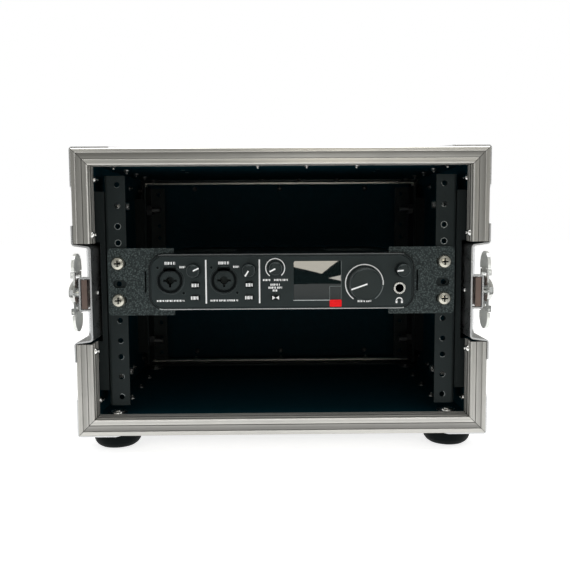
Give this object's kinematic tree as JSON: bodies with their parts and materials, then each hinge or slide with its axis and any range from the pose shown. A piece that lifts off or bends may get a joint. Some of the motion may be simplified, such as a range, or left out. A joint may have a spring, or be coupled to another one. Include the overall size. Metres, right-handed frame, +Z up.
{
  "type": "equipment rack case",
  "caption": "Portable half-width rack case with aluminium edging, butterfly latches, drilled rails, removable rear lid and a fitted audio interface.",
  "frame": {"origin": "on the floor plane under the feet, centred in width and in depth over the closed case", "axes": "+X to the right seen from the front, +Y from the open front to the rear lid, +Z up"},
  "size_m": [0.3288, 0.2802, 0.2396],
  "materials": {
    "black_board": "satin black laminate over birch plywood",
    "bare_board": "black-stained plywood strip",
    "extrusion": "brushed anodised aluminium",
    "zinc_steel": "bright zinc-plated pressed steel",
    "rivet_steel": "bright zinc-plated fasteners",
    "screw_steel": "bright nickel-plated screws",
    "latch_nickel": "nickel-plated latch castings",
    "rail_black": "black powder-coated steel",
    "foot_rubber": "black moulded rubber",
    "grip_rubber": "black moulded sleeve",
    "unit_paint": "black painted sheet steel",
    "face_paint": "semi-gloss black painted panel",
    "display_glass": "glossy black display window",
    "ear_powder": "textured black powder coat",
    "socket_plastic": "black moulded sockets with metal rims",
    "knob_plastic": "black soft-touch knobs",
    "button_plastic": "black push buttons with a white mark"
  },
  "bodies": {
    "case": {"top_panel": "black_board", "bottom_panel": "black_board", "left_panel": "black_board", "right_panel": "black_board", "front_valance": "extrusion", "rear_valance": "extrusion", "edge_angles": "extrusion", "corner_braces": "zinc_steel", "case_rivets": "rivet_steel", "front_rail_left": "rail_black", "front_rail_right": "rail_black", "rear_rails": "rail_black", "spacer_boards": "bare_board", "rail_bolts": "rivet_steel", "feet": "foot_rubber", "foot_screws": "rivet_steel", "handle_brackets": "zinc_steel", "latch_dishes": "zinc_steel", "latch_guides": "zinc_steel", "unit_chassis": "unit_paint", "unit_faceplate": "face_paint", "display_window": "display_glass", "rack_ear_left": "ear_powder", "rack_ear_right": "ear_powder", "rack_screws": "screw_steel", "panel_sockets": "socket_plastic"},
    "lid": {"lid_panels": "black_board", "lid_valance": "extrusion", "lid_angles": "extrusion", "lid_ball_corners": "zinc_steel", "lid_keepers": "zinc_steel", "lid_rivets": "rivet_steel"},
    "handle": {"handle_bail": "zinc_steel", "handle_grip": "grip_rubber"},
    "hub_front_left": {"latch_hub_front_left": "latch_nickel"},
    "hook_front_left": {"latch_hook_front_left": "zinc_steel"},
    "wing_upper_front_left": {"latch_wing_upper_front_left": "latch_nickel"},
    "wing_lower_front_left": {"latch_wing_lower_front_left": "latch_nickel"},
    "hub_front_right": {"latch_hub_front_right": "latch_nickel"},
    "hook_front_right": {"latch_hook_front_right": "zinc_steel"},
    "wing_upper_front_right": {"latch_wing_upper_front_right": "latch_nickel"},
    "wing_lower_front_right": {"latch_wing_lower_front_right": "latch_nickel"},
    "hub_rear_left": {"latch_hub_rear_left": "latch_nickel"},
    "hook_rear_left": {"latch_hook_rear_left": "zinc_steel"},
    "wing_upper_rear_left": {"latch_wing_upper_rear_left": "latch_nickel"},
    "wing_lower_rear_left": {"latch_wing_lower_rear_left": "latch_nickel"},
    "hub_rear_right": {"latch_hub_rear_right": "latch_nickel"},
    "hook_rear_right": {"latch_hook_rear_right": "zinc_steel"},
    "wing_upper_rear_right": {"latch_wing_upper_rear_right": "latch_nickel"},
    "wing_lower_rear_right": {"latch_wing_lower_rear_right": "latch_nickel"},
    "knob_gain_1": {"knob_gain_1": "knob_plastic"},
    "knob_gain_2": {"knob_gain_2": "knob_plastic"},
    "knob_mix": {"knob_mix": "knob_plastic"},
    "knob_phones": {"knob_phones": "knob_plastic"},
    "knob_monitor": {"knob_monitor": "knob_plastic"},
    "button_phantom_1": {"button_phantom_1": "button_plastic"},
    "button_phantom_2": {"button_phantom_2": "button_plastic"},
    "button_pad_1": {"button_pad_1": "button_plastic"},
    "button_pad_2": {"button_pad_2": "button_plastic"},
    "button_stereo": {"button_stereo": "button_plastic"}
  },
  "joints": [
    {"name": "latch_turn_front_left", "type": "hinge", "parent": "case", "child": "hub_front_left", "pos_m": [-0.1555, -0.12265, 0.1225], "axis": [-1, 0, 0], "range_deg": [0, 180]},
    {"name": "hook_slide_front_left", "type": "slide", "parent": "case", "child": "hook_front_left", "axis": [0, -1, 0], "range_m": [0, 0.012]},
    {"name": "wing_upper_fold_front_left", "type": "hinge", "parent": "hub_front_left", "child": "wing_upper_front_left", "pos_m": [-0.1589, -0.12265, 0.1371], "axis": [0, -1, 0], "range_deg": [0, 88]},
    {"name": "wing_lower_fold_front_left", "type": "hinge", "parent": "hub_front_left", "child": "wing_lower_front_left", "pos_m": [-0.1589, -0.12265, 0.1079], "axis": [0, -1, 0], "range_deg": [-88, 0]},
    {"name": "latch_turn_front_right", "type": "hinge", "parent": "case", "child": "hub_front_right", "pos_m": [0.1555, -0.12265, 0.1225], "axis": [1, 0, 0], "range_deg": [0, 180]},
    {"name": "hook_slide_front_right", "type": "slide", "parent": "case", "child": "hook_front_right", "axis": [0, -1, 0], "range_m": [0, 0.012]},
    {"name": "wing_upper_fold_front_right", "type": "hinge", "parent": "hub_front_right", "child": "wing_upper_front_right", "pos_m": [0.1589, -0.12265, 0.1371], "axis": [0, 1, 0], "range_deg": [0, 88]},
    {"name": "wing_lower_fold_front_right", "type": "hinge", "parent": "hub_front_right", "child": "wing_lower_front_right", "pos_m": [0.1589, -0.12265, 0.1079], "axis": [0, 1, 0], "range_deg": [-88, 0]},
    {"name": "latch_turn_rear_left", "type": "hinge", "parent": "case", "child": "hub_rear_left", "pos_m": [-0.1555, 0.07435, 0.1225], "axis": [-1, 0, 0], "range_deg": [0, 180]},
    {"name": "hook_slide_rear_left", "type": "slide", "parent": "case", "child": "hook_rear_left", "axis": [0, 1, 0], "range_m": [0, 0.012]},
    {"name": "wing_upper_fold_rear_left", "type": "hinge", "parent": "hub_rear_left", "child": "wing_upper_rear_left", "pos_m": [-0.1589, 0.07435, 0.1371], "axis": [0, -1, 0], "range_deg": [0, 88]},
    {"name": "wing_lower_fold_rear_left", "type": "hinge", "parent": "hub_rear_left", "child": "wing_lower_rear_left", "pos_m": [-0.1589, 0.07435, 0.1079], "axis": [0, -1, 0], "range_deg": [-88, 0]},
    {"name": "latch_turn_rear_right", "type": "hinge", "parent": "case", "child": "hub_rear_right", "pos_m": [0.1555, 0.07435, 0.1225], "axis": [1, 0, 0], "range_deg": [0, 180]},
    {"name": "hook_slide_rear_right", "type": "slide", "parent": "case", "child": "hook_rear_right", "axis": [0, 1, 0], "range_m": [0, 0.012]},
    {"name": "wing_upper_fold_rear_right", "type": "hinge", "parent": "hub_rear_right", "child": "wing_upper_rear_right", "pos_m": [0.1589, 0.07435, 0.1371], "axis": [0, 1, 0], "range_deg": [0, 88]},
    {"name": "wing_lower_fold_rear_right", "type": "hinge", "parent": "hub_rear_right", "child": "wing_lower_rear_right", "pos_m": [0.1589, 0.07435, 0.1079], "axis": [0, 1, 0], "range_deg": [-88, 0]},
    {"name": "handle_fold", "type": "hinge", "parent": "case", "child": "handle", "pos_m": [0, -0.04615, 0.2351], "axis": [1, 0, 0], "range_deg": [0, 92]},
    {"name": "lid_lift_off", "type": "slide", "parent": "case", "child": "lid", "axis": [0, 1, 0], "range_m": [0, 0.12]},
    {"name": "gain_1_turn", "type": "hinge", "parent": "case", "child": "knob_gain_1", "pos_m": [-0.0671, -0.12915, 0.13945], "axis": [0, 1, 0], "range_deg": [-215, 85]},
    {"name": "gain_2_turn", "type": "hinge", "parent": "case", "child": "knob_gain_2", "pos_m": [-0.025, -0.12915, 0.13945], "axis": [0, 1, 0], "range_deg": [-3, 297]},
    {"name": "mix_turn", "type": "hinge", "parent": "case", "child": "knob_mix", "pos_m": [-0.0047, -0.12915, 0.14085], "axis": [0, 1, 0], "range_deg": [-33, 267]},
    {"name": "phones_turn", "type": "hinge", "parent": "case", "child": "knob_phones", "pos_m": [0.0923, -0.12915, 0.13895], "axis": [0, 1, 0], "range_deg": [-54, 246]},
    {"name": "monitor_turn", "type": "hinge", "parent": "case", "child": "knob_monitor", "pos_m": [0.0636, -0.12915, 0.12865], "axis": [0, 1, 0], "range_deg": [-41, 259]},
    {"name": "phantom_1_press", "type": "slide", "parent": "case", "child": "button_phantom_1", "axis": [0, 1, 0], "range_m": [0, 0.0012], "stiffness_N_per_m": 400},
    {"name": "phantom_2_press", "type": "slide", "parent": "case", "child": "button_phantom_2", "axis": [0, 1, 0], "range_m": [0, 0.0012], "stiffness_N_per_m": 400},
    {"name": "pad_1_press", "type": "slide", "parent": "case", "child": "button_pad_1", "axis": [0, 1, 0], "range_m": [0, 0.0012], "stiffness_N_per_m": 400},
    {"name": "pad_2_press", "type": "slide", "parent": "case", "child": "button_pad_2", "axis": [0, 1, 0], "range_m": [0, 0.0012], "stiffness_N_per_m": 400},
    {"name": "stereo_press", "type": "slide", "parent": "case", "child": "button_stereo", "axis": [0, 1, 0], "range_m": [0, 0.0012], "stiffness_N_per_m": 400}
  ],
  "couplings": [
    {"joint": "hook_slide_front_left", "follows": "latch_turn_front_left", "m_per_rad": 0.0038197},
    {"joint": "wing_lower_fold_front_left", "follows": "wing_upper_fold_front_left", "ratio": -1},
    {"joint": "hook_slide_front_right", "follows": "latch_turn_front_right", "m_per_rad": 0.0038197},
    {"joint": "wing_lower_fold_front_right", "follows": "wing_upper_fold_front_right", "ratio": -1},
    {"joint": "hook_slide_rear_left", "follows": "latch_turn_rear_left", "m_per_rad": 0.0038197},
    {"joint": "wing_lower_fold_rear_left", "follows": "wing_upper_fold_rear_left", "ratio": -1},
    {"joint": "hook_slide_rear_right", "follows": "latch_turn_rear_right", "m_per_rad": 0.0038197},
    {"joint": "wing_lower_fold_rear_right", "follows": "wing_upper_fold_rear_right", "ratio": -1}
  ]
}
